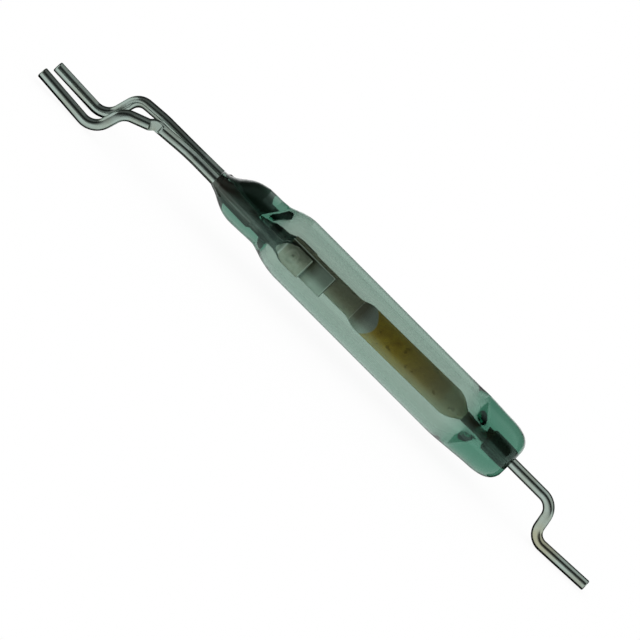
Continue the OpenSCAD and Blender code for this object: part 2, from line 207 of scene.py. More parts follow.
# Over the leads and the glass tip: a light table, a dark sky, and one light strip overhead. Each row is the
# card's name and ends, the shades of its near table, far table and strip overhead, and what is behind.
LEAD_BACK = [over(150, 0.03), over(158, 0.2), over(168, 0.6)]
TIP_BACK = [over(150, 0.02), over(179, 0.02)]
for part, x_from, x_to, near, far, overhead, behind in (
        ("pair", -CARD_HALF, TIP_FROM, 0.85, 0.7, 0.16, LEAD_BACK),
        ("tip", TIP_FROM, GLASS_FROM, 0.85, 0.7, 0.16, TIP_BACK),
        ("common", GLASS_TO, CARD_HALF, 1.0, 1.0, 0.75, LEAD_BACK)):
    lead_table = [(-3.0, CARD_LIFT, near), (-4.4, CARD_LIFT, 0.92 * near), (-9.0, CARD_LIFT, 0.85 * near),
                  (-25.0, CARD_LIFT, 0.75 * near), (-CARD_AWAY, CARD_LIFT, 0.68 * far)]
    lead_sky = [over(6, 0.6 * far), over(14, 0.3 * far), over(24, 0.06), over(40, 0.02), over(52, 0.02),
                over(62, 0.5 * overhead), over(70, overhead), over(104, overhead),
                over(114, 0.5 * overhead), over(122, 0.04)]
    long_card(f"card_over_{part}", x_from, x_to, lead_table + lead_sky + behind)

# Under the switch: painted shadow, as dark cards that only reflections see, in the places where the real one
# darkens its own reflection of the table. Each row is the card's name, its ends along and across the switch,
# and its shade.
for part, x_from, x_to, y_from, y_to, under_shade in (
        ("common", GLASS_TO, COMMON_TO, -0.25, 5, 0.02),
        ("front_lead", PAIR_TO, GLASS_FROM, -1.42, -0.6, 0.02),
        ("rear_lead", PAIR_TO, GLASS_FROM, 0.95, 6, 0.02),
        ("glass", GLASS_FROM, GLASS_TO, 0.0, 3, 0.45)):
    long_card(f"card_under_{part}", x_from, x_to,
              [(y_from, UNDER_LIFT, under_shade), (y_to, UNDER_LIFT, under_shade)])

# The glass capsule. A tube of green, heat-absorbing, lead-free glass, melted shut round the pair of leads at
# a pinched, pointed end and round the common lead at a blunt end. Its cavity closes like a funnel at both
# ends, and each seal grips the oxide on the wires.

# Each station is the place along the axis, the half height, the half depth and the rise of the middle.
GLASS_STATIONS = [
    (-7.365, 0.30, 0.70, -0.155), (-7.149, 0.355, 0.745, -0.18), (-6.861, 0.50, 0.80, -0.19),
    (-6.574, 0.690, 0.86, -0.15), (-6.286, 0.842, 0.91, -0.10), (-5.998, 0.917, 0.935, -0.065),
    (-5.710, 0.944, 0.944, -0.035), (-5.423, 0.942, 0.942, -0.025), (-5.135, 0.937, 0.937, -0.015),
    (-4.847, 0.945, 0.945, 0.0), (-4.559, 1.025, 1.025, 0.01), (-4.272, 1.128, 1.128, 0.02),
    (-3.984, 1.200, 1.200, 0.02), (-3.696, 1.238, 1.238, 0.01), (-3.40, 1.25, 1.25, 0.0),
    (0.0, 1.25, 1.25, 0.0), (4.30, 1.25, 1.25, 0.005), (4.65, 1.245, 1.245, 0.012),
    (4.937, 1.24, 1.24, 0.03), (5.225, 1.227, 1.227, 0.045), (5.513, 1.211, 1.211, 0.052),
    (5.80, 1.19, 1.19, 0.06), (6.09, 1.172, 1.172, 0.066), (6.376, 1.160, 1.160, 0.07),
    (6.66, 1.128, 1.128, 0.075), (6.95, 1.052, 1.052, 0.078), (7.15, 0.93, 0.93, 0.08),
    (7.28, 0.78, 0.78, 0.08), (7.345, 0.62, 0.62, 0.08),
]
PAIR_END, COMMON_END = GLASS_STATIONS[0][0], GLASS_STATIONS[-1][0]
GLASS_SIDES = 128
GLASS_STEP = 0.05  # between rings of the outside
FUNNEL_STEP = 0.03  # between rings of the cavity where it narrows
BORE_STEP = 0.4  # and where it is straight
TIP_SQUARENESS = 0.2  # how much squarer than round the pinched tip is
TIP_LENGTH = 1.6  # length over which it turns round
CAVITY_RISE = 0.6  # share of the outside's rise that the cavity follows

# Place along the axis and radius of the cavity, where it closes on the pair of leads and, with a last narrow
# gap, round the common lead.
BORE = 0.98
PAIR_FUNNEL = [(-5.365, 0.0), (-5.20, 0.14), (-5.00, 0.30), (-4.80, 0.455), (-4.60, 0.61), (-4.45, 0.72),
               (-4.30, 0.82), (-4.15, 0.895), (-4.00, 0.945), (-3.80, 0.975), (-3.60, BORE)]
COMMON_FUNNEL = [(4.30, BORE), (4.60, 0.945), (4.90, 0.87), (5.10, 0.80), (5.20, 0.76), (5.30, 0.695),
                 (5.45, 0.585), (5.60, 0.475), (5.75, 0.365), (5.86, 0.295), (5.96, 0.262), (6.09, 0.25)]


def eased(rows, x):
    """Values at x on a smooth curve through the rows, each of which starts with its own x."""
    if x <= rows[0][0]:
        return list(rows[0][1:])
    if x >= rows[-1][0]:
        return list(rows[-1][1:])
    k = next(i for i in range(len(rows) - 1) if x <= rows[i + 1][0])
    a, b = rows[k], rows[k + 1]
    span = b[0] - a[0]
    u = (x - a[0]) / span

    def slope(i, c):
        """Slope at row i, flat where the values turn round."""
        if i == 0 or i == len(rows) - 1:
            j = min(max(i, 1), len(rows) - 1)
            return (rows[j][c] - rows[j - 1][c]) / (rows[j][0] - rows[j - 1][0])
        left = (rows[i][c] - rows[i - 1][c]) / (rows[i][0] - rows[i - 1][0])
        after = (rows[i + 1][c] - rows[i][c]) / (rows[i + 1][0] - rows[i][0])
        return 0.0 if left * after <= 0 else 2 * left * after / (left + after)

    values = []
    for c in range(1, len(a)):
        m0, m1 = slope(k, c) * span, slope(k + 1, c) * span
        values.append(a[c] * (1 + 2 * u) * (1 - u) ** 2 + m0 * u * (1 - u) ** 2
                      + b[c] * u * u * (3 - 2 * u) + m1 * u * u * (u - 1))
    return values


def oval(x, half_height, half_depth, rise, power, sides):
    """Ring of the glass at x: round for a power of 2, squarer above it."""
    ring = []
    for i in range(sides):
        turn = (i + 0.5) * 2 * math.pi / sides
        c, s = math.cos(turn), math.sin(turn)
        ring.append(stood(x, half_depth * math.copysign(abs(c) ** (2 / power), c),
                          rise + half_height * math.copysign(abs(s) ** (2 / power), s)))
    return ring


def spread(start, stop, step):
    """Even steps from start to stop."""
    count = max(1, math.ceil((stop - start) / step))
    return [start + (stop - start) * i / count for i in range(count + 1)]


def walls(rings, sides, first, outward=True):
    """Quads between rings that follow each other along +X, with their normals outward or inward."""
    faces = []
    for r in range(rings - 1):
        for i in range(sides):
            j = (i + 1) % sides
            quad = [first + r * sides + i, first + r * sides + j, first + (r + 1) * sides + j,
                    first + (r + 1) * sides + i]
            faces.append(quad if outward else quad[::-1])
    return faces


def cavity_radius(x):
    """Radius of the cavity at x."""
    return min(eased(PAIR_FUNNEL, x)[0], eased(COMMON_FUNNEL, x)[0])


outer_stations = spread(PAIR_END, COMMON_END, GLASS_STEP)
points = []
for x in outer_stations:
    half_height, half_depth, rise = eased(GLASS_STATIONS, x)
    square = TIP_SQUARENESS * max(0, 1 - (x - PAIR_END) / TIP_LENGTH)
    points += oval(x, half_height, half_depth, rise, 2 + square, GLASS_SIDES)
faces = walls(len(outer_stations), GLASS_SIDES, 0)
pair_cap = list(range(GLASS_SIDES))[::-1]
common_cap = [len(points) - GLASS_SIDES + i for i in range(GLASS_SIDES)]
faces += [pair_cap, common_cap]
outer_faces = len(faces)

cavity_start = len(points)
bore_from, bore_to = PAIR_FUNNEL[-1][0], COMMON_FUNNEL[0][0]
cavity_stations = spread(PAIR_FUNNEL[0][0], bore_from, FUNNEL_STEP)[1:]
cavity_stations += spread(bore_from, bore_to, BORE_STEP)[1:-1]
cavity_stations += spread(bore_to, COMMON_FUNNEL[-1][0], FUNNEL_STEP)
for x in cavity_stations:
    radius = cavity_radius(x)
    rise = CAVITY_RISE * eased(GLASS_STATIONS, x)[2]
    points += oval(x, radius, radius, rise, 2, GLASS_SIDES)
faces += walls(len(cavity_stations), GLASS_SIDES, cavity_start, outward=False)
pair_cap = [cavity_start + i for i in range(GLASS_SIDES)]
common_cap = [len(points) - GLASS_SIDES + i for i in range(GLASS_SIDES)][::-1]
faces += [pair_cap, common_cap]

# Drawn glass with iron oxide, which takes up infrared heat: green wherever it is thick, glossy, with faint
# lines along the draw. Real draw lines are finer, and these are as coarse as shows. The "outside" attribute
# is 1 on the outer surface and 0 on the cavity's, which has no tint of its own.
DRAW_LINE = (4.0 * MM, 0.2857 * MM)  # length and width of a draw line, in metres

# A Mix node's sockets for colours and for numbers share their names, so here they go by their places.
SHARE, FROM, TO = 0, 6, 7
FROM_NUMBER, TO_NUMBER = 2, 3
COLOURS = {"out": 2, "data_type": "RGBA"}
TINTING = {"blend_type": "MULTIPLY"}  # the two colours are multiplied


def marks_along(size):
    """Scale of a pattern whose marks have this length along X and this width across it."""
    return (1 / size[0], 1 / size[1], 1 / size[1])


green_glass, tree = finish_named("drawn green infrared glass")
outer = add(tree, "ShaderNodeAttribute", out="Fac", attribute_name="outside")
spot = add(tree, "ShaderNodeTexCoord", out="Object")
drawn = add(tree, "ShaderNodeMapping", {"Vector": spot, "Scale": marks_along(DRAW_LINE)})
draw_lines = add(tree, "ShaderNodeTexNoise",
                 {"Vector": drawn, "Scale": 1.0, "Detail": 3.0, "Roughness": 0.6})
lined = add(tree, "ShaderNodeMapRange", {"Value": draw_lines, "From Min": 0.35, "From Max": 0.65})
tint = add(tree, "ShaderNodeMix", {SHARE: lined, FROM: "A4A8A0", TO: "ACB0A7"}, **COLOURS)
tint = add(tree, "ShaderNodeMix", {SHARE: outer, FROM: "FFFFFF", TO: tint}, **COLOURS)
surface = add(tree, "ShaderNodeBsdfPrincipled", {"Base Color": tint, "Roughness": 0.0, "IOR": 1.54,
              "Transmission Weight": 1.0, "Specular IOR Level": 0.9, "Specular Tint": "CDFFED"})
body = add(tree, "ShaderNodeVolumeAbsorption", {"Color": "A9E1D5", "Density": 1400.0})
add(tree, "ShaderNodeOutputMaterial", {"Surface": surface, "Volume": body})

capsule = put("green_glass_capsule", points, faces, green_glass)
marks = capsule.data.attributes.new("outside", "FLOAT", "FACE")
marks.data.foreach_set("value", [1.0 if i < outer_faces else 0.0 for i in range(len(faces))])
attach(capsule, "root")
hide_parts("glass_capsule")

# The pair of leads. Two drawn nickel-iron wires, tinned outside the glass, bent as gull wings and pressed
# flat inside as contact paddles. The normally closed one carries a coined flat where its bends start.
WIRE = 0.43
WIRE_SIDES = 48
WIRE_STEP = 0.06  # between rings along a lead
WIRE_BEVEL = 0.03  # at the cut end of a foot
SHARP_ANGLE = math.radians(40)  # edges that turn further than this show as sharp
BEND_STEP = 5  # degrees between rings round a bend
PADDLE_START = -4.165
PADDLE_LENGTH = 1.36
PADDLE_WIDTH = 0.88
PADDLE_THICK = 0.16
PADDLE_SHOULDER = 0.26  # length over which the wire flattens
PADDLE_SPREAD = 2.6  # how many times longer it takes to reach its width
PADDLE_EDGE = 0.06  # rounding of its sheared end
PADDLE_STEP = 0.04  # between rings of a paddle
PAIR_APART = 0.88  # between the middles of the two wires in the seal
REED_FACE = 0.085  # from the middle plane to either face of the reed
PAD_THICK = 0.1
OPEN_GAP = 0.1  # between the resting reed and the normally open paddle
NC_SIDE, NO_SIDE = -1, 1
NC_HEIGHT, NO_HEIGHT = -0.21, -0.04  # of each paddle's middle


def bent_path(corners, radii):
    """Points along a wire with a round bend at each inner corner."""
    corners = [Vector(c) for c in corners]
    path = [corners[0]]
    for k in range(1, len(corners) - 1):
        way_in = (corners[k] - corners[k - 1]).normalized()
        way_out = (corners[k + 1] - corners[k]).normalized()
        turn = way_in.angle(way_out)
        used = radii[k] * math.tan(turn / 2)
        centre = corners[k] + (way_out - way_in).normalized() * radii[k] / math.cos(turn / 2)
        start = corners[k] - way_in * used - centre
        pivot = way_in.cross(way_out).normalized()
        steps = max(3, math.ceil(math.degrees(turn) / BEND_STEP))
        for i in range(steps + 1):
            path.append(centre + Matrix.Rotation(turn * i / steps, 3, pivot) @ start)
    path.append(corners[-1])
    return path


def filled(path, step):
    """The same path with points no further apart than step."""
    full = [path[0]]
    for a, b in zip(path, path[1:]):
        count = max(1, math.ceil((b - a).length / step))
        full += [a.lerp(b, i / count) for i in range(1, count + 1)]
    return full


def section(width, thick, sides):
    """Outline of pressed wire: (thickness, width) places on a round wire flattened between two faces."""
    places = []
    for i in range(sides):
        turn = (i + 0.5) * 2 * math.pi / sides
        across = width / 2 * math.sin(turn)
        over_edge = max(0.0, abs(across) - (width - thick) / 2)
        depth = math.sqrt(max(0.0, (thick / 2) ** 2 - over_edge ** 2))
        places.append((math.copysign(depth, math.cos(turn)), across))
    return places


def placed(centre, way, places):
    """A ring of (side, up) places across a wire at centre."""
    side = way.cross(Vector((0, 0, 1))).normalized()
    rise = side.cross(way)
    return [centre + side * a + rise * b for a, b in places]


def wire_mesh(name, rings, finish):
    """Skin over rings of capsule millimetres, with closed ends.

    It keeps two things for the finishes to follow: each point's place in the capsule, and as its grain
    the length along the wire and the place across it, so that drawing marks follow the bends.
    """
    sides = len(rings[0][1])
    points, places, grains, faces = [], [], [], []
    for run, ring in rings:
        centre = sum(ring, Vector()) / sides
        points += [stood(*p) for p in ring]
        places += [c for p in ring for c in p]
        grains += [c for p in ring for c in (run, p.y - centre.y, p.z - centre.z)]
    for r in range(len(rings) - 1):
        for i in range(sides):
            j = (i + 1) % sides
            faces.append([r * sides + i, (r + 1) * sides + i, (r + 1) * sides + j, r * sides + j])
    faces.append(list(range(sides)))
    faces.append([(len(rings) - 1) * sides + i for i in range(sides)][::-1])
    made = put(name, points, faces, finish)
    made.data.attributes.new("place", "FLOAT_VECTOR", "POINT").data.foreach_set("vector", places)
    made.data.attributes.new("grain", "FLOAT_VECTOR", "POINT").data.foreach_set("vector", grains)
    made.data.set_sharp_from_angle(angle=SHARP_ANGLE)
    return made


# Marks that the drawing die left, as length along and width across the wire, and dull patches of the tin.
# Real die marks are much finer, and these are as coarse as shows.
TIN_MARK = (2.857, 0.0714)
OXIDE_MARK = (2.5, 0.0909)
TIN_PATCH = 0.625


def drawn_tin(tree):
    """Colour and roughness of dipped tin on drawn wire, and the wire's grain for other patterns."""
    grain = add(tree, "ShaderNodeAttribute", out="Vector", attribute_name="grain")
    along = add(tree, "ShaderNodeMapping", {"Vector": grain, "Scale": marks_along(TIN_MARK)})
    marks = add(tree, "ShaderNodeTexNoise", {"Vector": along, "Scale": 1.0, "Detail": 4.0, "Roughness": 0.6})
    patches = add(tree, "ShaderNodeTexNoise",
                  {"Vector": grain, "Scale": 1 / TIN_PATCH, "Detail": 3.0, "Roughness": 0.55})
    bright = add(tree, "ShaderNodeMapRange", {"Value": marks, "From Min": 0.3, "From Max": 0.7})
    dull = add(tree, "ShaderNodeMapRange", {"Value": patches, "From Min": 0.45, "From Max": 0.75})
    tin = add(tree, "ShaderNodeMix", {SHARE: bright, FROM: "98A89E", TO: "ACBDB6"}, **COLOURS)
    tin = add(tree, "ShaderNodeMix", {SHARE: dull, FROM: tin, TO: "98A092"}, **COLOURS)
    # Painted shade: the underside is darkened, standing in for its reflection of the wire's own shadow on
    # the table.
    normal = add(tree, "ShaderNodeNewGeometry", out="Normal")
    upward = add(tree, "ShaderNodeSeparateXYZ", {0: normal}, "Z")
    under = add(tree, "ShaderNodeMapRange", {"Value": upward, "From Min": -0.34, "From Max": -0.68})
    tin = add(tree, "ShaderNodeMix", {SHARE: under, FROM: tin, TO: "4C504A"}, **COLOURS)
    rough = add(tree, "ShaderNodeMath", {0: marks, 1: 0.14, 2: 0.13}, operation="MULTIPLY_ADD")
    return tin, rough, grain


OXIDE_STREAK_DROP = 0.05  # how far below the wire's middle the streaked band of its oxide lies
OXIDE_STREAK_HALF = (0.05, 0.15)  # heights over which the band runs out into plain dark oxide


def oxide_skin(tree, grain):
    """Colour of the dark oxide that the glass bonds to, with pale drawing streaks along the wire."""
    along = add(tree, "ShaderNodeMapping", {"Vector": grain, "Scale": marks_along(OXIDE_MARK)})
    streaks = add(tree, "ShaderNodeTexNoise",
                  {"Vector": along, "Scale": 1.0, "Detail": 3.0, "Roughness": 0.6})
    pale = add(tree, "ShaderNodeMapRange", {"Value": streaks, "From Min": 0.35, "From Max": 0.68})
    skin = add(tree, "ShaderNodeMix", {SHARE: pale, FROM: "5C534D", TO: "B6B0B0"}, **COLOURS)
    height = add(tree, "ShaderNodeSeparateXYZ", {0: grain}, "Z")
    height = add(tree, "ShaderNodeMath", {0: height, 1: OXIDE_STREAK_DROP}, operation="ADD")
    height = add(tree, "ShaderNodeMath", {0: height}, operation="ABSOLUTE")
    plain = add(tree, "ShaderNodeMapRange",
                {"Value": height, "From Min": OXIDE_STREAK_HALF[0], "From Max": OXIDE_STREAK_HALF[1]})
    return add(tree, "ShaderNodeMix", {SHARE: plain, FROM: skin, TO: "453E39"}, **COLOURS)


# Nickel-iron wire: bright tin over drawing marks outside the glass, brown-black oxide in the seal, and a
# pressed paddle of bare, cloudy grey metal with painted highlights on its shoulder and sheared end and
# painted shade towards its upper edge.
CLOUD = 0.2  # size of the paddle's clouds
BOW_DROP = 0.2  # how far below the capsule's middle the bowed edge of the bare metal reaches furthest out
BOW_CURVE = -3.2  # and how fast it falls back from there
WELD_BURN = (-3.46, -0.345, -0.13)  # middle of the burn that the weld left
WELD_RING = 0.2  # radius of the pale ring round it
TIP_EDGE = (-7.34, -7.37)  # where the glass ends and the tin starts
CAVITY_EDGE = (-5.1, -4.9)  # where the cavity starts and the oxide is burnt brown
pair_finish, tree = finish_named("tinned nickel-iron wire with a bare paddle")
tin, rough, grain = drawn_tin(tree)
place = add(tree, "ShaderNodeAttribute", out="Vector", attribute_name="place")
x = add(tree, "ShaderNodeSeparateXYZ", {0: place}, "X")
z = add(tree, "ShaderNodeSeparateXYZ", {0: place}, "Z")
run = add(tree, "ShaderNodeSeparateXYZ", {0: grain}, "X")
inward = add(tree, "ShaderNodeMath", {0: run, 1: -1.0}, operation="MULTIPLY")
clouds = add(tree, "ShaderNodeTexNoise",
             {"Vector": place, "Scale": 1 / CLOUD, "Detail": 5.0, "Roughness": 0.65})
cloudy = add(tree, "ShaderNodeMapRange", {"Value": clouds, "From Min": 0.35, "From Max": 0.7})
paddle = add(tree, "ShaderNodeMix", {SHARE: cloudy, FROM: "D8D4C5", TO: "B6B2A2"}, **COLOURS)
# Painted highlight: a white crescent between the bowed edge of the bare metal and the start of the pad,
# standing in for the light that the shoulder's slope reflects.
across = add(tree, "ShaderNodeMath", {0: z, 1: BOW_DROP}, operation="ADD")
squared = add(tree, "ShaderNodeMath", {0: across, 1: across}, operation="MULTIPLY")
bow = add(tree, "ShaderNodeMath", {0: squared, 1: BOW_CURVE, 2: inward}, operation="MULTIPLY_ADD")
past_bow = add(tree, "ShaderNodeMapRange", {"Value": bow, "From Min": 0.03, "From Max": 0.07})
short_of_pad = add(tree, "ShaderNodeMapRange", {"Value": inward, "From Min": 0.3, "From Max": 0.26})
painted_highlight_crescent = add(tree, "ShaderNodeMath", {0: past_bow, 1: short_of_pad}, operation="MULTIPLY")
paddle = add(tree, "ShaderNodeMix", {SHARE: painted_highlight_crescent, FROM: paddle, TO: "FFFFFF"}, **COLOURS)
# Painted shade: the paddle is a little darker towards its upper edge.
toned = add(tree, "ShaderNodeMapRange", {"Value": z, "From Min": -0.25, "From Max": 0.09})
painted_shade_tint = add(tree, "ShaderNodeMix", {SHARE: toned, FROM: "FFFFFF", TO: "C4C6C4"}, **COLOURS)
paddle = add(tree, "ShaderNodeMix", {SHARE: 1.0, FROM: paddle, TO: painted_shade_tint}, **COLOURS, **TINTING)
# The weld shows as a burnt spot inside a pale ring. A painted highlight runs as a pale rim along the sheared
# end.
from_weld = add(tree, "ShaderNodeVectorMath", {0: place, 1: WELD_BURN}, "Value", operation="DISTANCE")
burn = add(tree, "ShaderNodeMapRange",
           {"Value": from_weld, "From Min": 0.07, "From Max": 0.02, "To Max": 0.6})
paddle = add(tree, "ShaderNodeMix", {SHARE: burn, FROM: paddle, TO: "4C483C"}, **COLOURS)
from_ring = add(tree, "ShaderNodeMath", {0: from_weld, 1: WELD_RING}, operation="SUBTRACT")
from_ring = add(tree, "ShaderNodeMath", {0: from_ring}, operation="ABSOLUTE")
ring = add(tree, "ShaderNodeMapRange",
           {"Value": from_ring, "From Min": 0.07, "From Max": 0.0, "To Max": 0.35})
paddle = add(tree, "ShaderNodeMix", {SHARE: ring, FROM: paddle, TO: "E6E4D8"}, **COLOURS)
end_rim_highlight = add(tree, "ShaderNodeMapRange", {"Value": inward, "From Min": 1.3, "From Max": 1.32})
paddle = add(tree, "ShaderNodeMix", {SHARE: end_rim_highlight, FROM: paddle, TO: "EFEFE8"}, **COLOURS)
# From the paddle outward: bare metal, burnt oxide in the cavity, oxide in the seal, then tin.
bare = add(tree, "ShaderNodeMapRange", {"Value": bow, "From Min": 0.02, "From Max": 0.05})
skin = oxide_skin(tree, grain)
in_cavity = add(tree, "ShaderNodeMapRange",
                {"Value": x, "From Min": CAVITY_EDGE[0], "From Max": CAVITY_EDGE[1]})
burnt = add(tree, "ShaderNodeMix", {SHARE: in_cavity, FROM: "FFFFFF", TO: "6C625A"}, **COLOURS)
skin = add(tree, "ShaderNodeMix", {SHARE: 1.0, FROM: skin, TO: burnt}, **COLOURS, **TINTING)
colour = add(tree, "ShaderNodeMix", {SHARE: bare, FROM: skin, TO: paddle}, **COLOURS)
outside = add(tree, "ShaderNodeMapRange", {"Value": x, "From Min": TIP_EDGE[0], "From Max": TIP_EDGE[1]})
colour = add(tree, "ShaderNodeMix", {SHARE: outside, FROM: colour, TO: tin}, **COLOURS)
metal = add(tree, "ShaderNodeMath", {0: outside, 1: bare}, operation="MAXIMUM")
rough = add(tree, "ShaderNodeMix", {SHARE: outside, FROM_NUMBER: 0.42, TO_NUMBER: rough})
surface = add(tree, "ShaderNodeBsdfPrincipled", {"Base Color": colour, "Roughness": rough, "Metallic": metal,
              "Specular Tint": "505050"})
add(tree, "ShaderNodeOutputMaterial", {"Surface": surface})


def smooth(u):
    """Gentle step from 0 to 1."""
    u = min(max(u, 0), 1)
    return u * u * (3 - 2 * u)


def mix(a, b, u):
    """From a to b as u goes from 0 to 1."""
    return a + (b - a) * u


FLAT_MIDDLE = -10.26  # place along the axis of the middle of the coined flat
FLAT_HALF = 0.15  # half its length
FLAT_FADE = 0.09  # length over which it runs out at each end
FLAT_THICK = 0.2  # thickness that it leaves


def coined(x):
    """How far the wire is flattened at x, from 0 to 1."""
    return 1 - smooth((abs(x - FLAT_MIDDLE) - FLAT_HALF) / FLAT_FADE)


# Where the wires are thicker by their oxide skin, which the glass bonds to: from, to, and how much.
OXIDE_SWELL = 0.15
ROOT_SWELL = 0.03
SEALED = ((-7.2, -5.3, OXIDE_SWELL), (6.05, 7.2, OXIDE_SWELL), (4.9, 7.2, ROOT_SWELL))
SEAL_FADE = 0.12


def sealed(x):
    """Extra width of the wire where it is sealed in the glass."""
    return max(swell * smooth((x - a) / SEAL_FADE) * smooth((b - x) / SEAL_FADE) for a, b, swell in SEALED)


def round_wire(path, start_run, flat):
    """Rings along a bent round wire, with its end bevelled and its flat coined."""
    rings, run = [], start_run
    for k in range(1, len(path) - 1):
        run += (path[k] - path[k - 1]).length
        way = (path[k + 1] - path[k - 1]).normalized()
        round_width = WIRE + sealed(path[k].x)
        places = section(round_width, round_width, WIRE_SIDES)
        if flat and coined(path[k].x) > 0:
            limit = mix(WIRE, FLAT_THICK, coined(path[k].x)) / 2
            places = [(max(-limit, min(limit, a)), b) for a, b in places]
        rings.append((run, placed(path[k], way, places)))
    run += (path[-1] - path[-2]).length
    way = (path[-1] - path[-2]).normalized()
    full, small = WIRE, WIRE - 2 * WIRE_BEVEL
    short_of_end = path[-1] - way * WIRE_BEVEL
    rings.append((run - WIRE_BEVEL, placed(short_of_end, way, section(full, full, WIRE_SIDES))))
    rings.append((run, placed(path[-1], way, section(small, small, WIRE_SIDES))))
    return rings


WELD_PLACE = 0.72  # length along the paddle to the weld's middle
WELD_RADIUS = 0.22
WELD_GROOVE = 0.05  # half width of the ring that the electrode pressed
WELD_DEPTH = 0.018
WELD_CENTRE = 0.6  # depth of its middle as a share of the ring's


def weld_dent(outward, x, b):
    """How far the outer face of a paddle is pushed in by the weld: a ring about a shallow middle."""
    if outward < 0:
        return 0.0
    away = math.hypot(x - WELD_PLACE, b)
    ring = math.exp(-((away - WELD_RADIUS) / WELD_GROOVE) ** 2)
    centre = WELD_CENTRE * math.exp(-(away / WELD_GROOVE) ** 2)
    return -math.copysign(WELD_DEPTH * (ring + centre), outward)


EDGE_TURNS = (90, 60, 30)  # degrees left to turn round a sheared edge at each of its rings
LEAST_KEPT = 0.1  # smallest share of its distance from the middle that a point keeps
STAYS_THICK, STAYS_WIDE = 0.01, 0.1  # points nearer the middle than this keep that distance whole


def rounded_end(last, end, middle, edge):
    """Rings that close a flat piece with a rounded sheared end, from its last full ring to its end."""
    run, ring = last
    centre = sum(ring, Vector()) / len(ring)
    centre.y = middle
    way = 1 if end > centre.x else -1
    closing = []
    for turn in EDGE_TURNS:
        inset = edge * (1 - math.cos(math.radians(turn)))
        at = end - way * edge * (1 - math.sin(math.radians(turn)))
        small = []
        for p in ring:
            thick, wide = p.y - centre.y, p.z - centre.z
            if abs(thick) > STAYS_THICK:
                thick *= max(LEAST_KEPT, 1 - inset / abs(thick))
            if abs(wide) > STAYS_WIDE:
                wide *= max(LEAST_KEPT, 1 - inset / abs(wide))
            small.append(Vector((at, centre.y + thick, centre.z + wide)))
        closing.append((run - edge, small))
    return closing


def pair_lead(name, side, face, height, corners, radii, flat=False):
    """One lead of the pair, from the end of its paddle to the end of its foot."""
    rings = []
    for x in spread(0, PADDLE_LENGTH - PADDLE_EDGE, PADDLE_STEP)[::-1]:
        pressed = smooth(x / PADDLE_SHOULDER)
        wide = math.sin(math.pi / 2 * min(1, x / (PADDLE_SPREAD * PADDLE_SHOULDER)))
        thick = mix(WIRE, PADDLE_THICK, pressed)
        width = max(thick, mix(WIRE, PADDLE_WIDTH, wide))
        y = side * mix(PAIR_APART / 2, face + PADDLE_THICK / 2, pressed)
        ring = [Vector((PADDLE_START + x, y + a + weld_dent(side * a, x, b), height + b))
                for a, b in section(width, thick, WIRE_SIDES)]
        rings.append((-x, ring))
    rings = rounded_end(rings[0], PADDLE_START + PADDLE_LENGTH, side * (face + PADDLE_THICK / 2),
                        PADDLE_EDGE) + rings
    rings += round_wire(filled(bent_path(corners, radii), WIRE_STEP), 0.0, flat)
    made = wire_mesh(name, rings, pair_finish)
    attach(made, "root")
    return made


# Corners of each bent lead, from the root of its paddle to its foot, and the radius of the bend at each.
NC_CORNERS = [(PADDLE_START, -PAIR_APART / 2, NC_HEIGHT), (-8.665, -PAIR_APART / 2, -0.15),
              (-9.985, -0.75, -0.18), (-10.29, -0.842, -0.185), (-10.45, -0.893, -0.34),
              (-11.385, -1.20, -0.63), (-11.755, -1.27, -1.87), (-14.515, -1.08, -1.72)]
NC_RADII = [0, 4, 2, 0.2, 0.2, 0.62, 0.72, 0]
NO_CORNERS = [(PADDLE_START, PAIR_APART / 2, NO_HEIGHT), (-7.665, PAIR_APART / 2, -0.13),
              (-8.665, PAIR_APART / 2, -0.14), (-10.195, 0.75, -0.22), (-11.385, 1.20, -0.43),
              (-11.755, 1.27, -1.87), (-14.305, 1.09, -1.72)]
NO_RADII = [0, 4, 4, 2, 0.62, 0.72, 0]
nc_lead = pair_lead("normally_closed_wire", NC_SIDE, REED_FACE + PAD_THICK, NC_HEIGHT, NC_CORNERS, NC_RADII,
                    flat=True)
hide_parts("normally_closed_lead")
no_lead = pair_lead("normally_open_wire", NO_SIDE, REED_FACE + OPEN_GAP, NO_HEIGHT, NO_CORNERS, NO_RADII)
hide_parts("normally_open_lead")

# The contact pad. A thin strip of non-magnetic metal, spot-welded behind the normally closed paddle and
# longer than it, so that the reed rests on it and isn't held by the paddle's magnetism.
PAD_START = PADDLE_START + 0.28
PAD_LENGTH = 2.12
PAD_WIDTH = 0.94
PAD_DROP = 0.15  # of its middle below the capsule's
PAD_EDGE = 0.045
PAD_STEP = 0.06  # between rings of the pad

# Rolled strip of non-magnetic alloy with lengthwise rolling marks, painted shade beside the paddle's end and
# over its upper half, and painted highlights along its edges. Real rolling marks are finer, and these are as
# coarse as shows.
ROLLING_MARK = (0.833, 0.1)
BROWN_SHADE_EDGE = (-2.75, -2.3)  # where the brown painted shade beside the paddle's end runs out
PADDLE_SHADOW_EDGE = (-2.68, -2.76)  # where the painted shadow of the paddle's end on the strip fades in
SIDE_HIGHLIGHT_EDGE = (0.435, 0.46)  # heights above or below the pad's middle of its painted highlights along the long edges
END_HIGHLIGHT_EDGE = (-1.84, -1.81)  # where the painted highlight on its rounded end starts
END_SHADE_EDGE = (-1.8, -1.78)  # where the painted shade on the last part of its rounded end starts
pad_metal, tree = finish_named("rolled contact strip")
grain = add(tree, "ShaderNodeAttribute", out="Vector", attribute_name="grain")
place = add(tree, "ShaderNodeAttribute", out="Vector", attribute_name="place")
x = add(tree, "ShaderNodeSeparateXYZ", {0: place}, "X")
z = add(tree, "ShaderNodeSeparateXYZ", {0: place}, "Z")
rolled = add(tree, "ShaderNodeMapping", {"Vector": grain, "Scale": marks_along(ROLLING_MARK)})
marks = add(tree, "ShaderNodeTexNoise", {"Vector": rolled, "Scale": 1.0, "Detail": 4.0, "Roughness": 0.6})
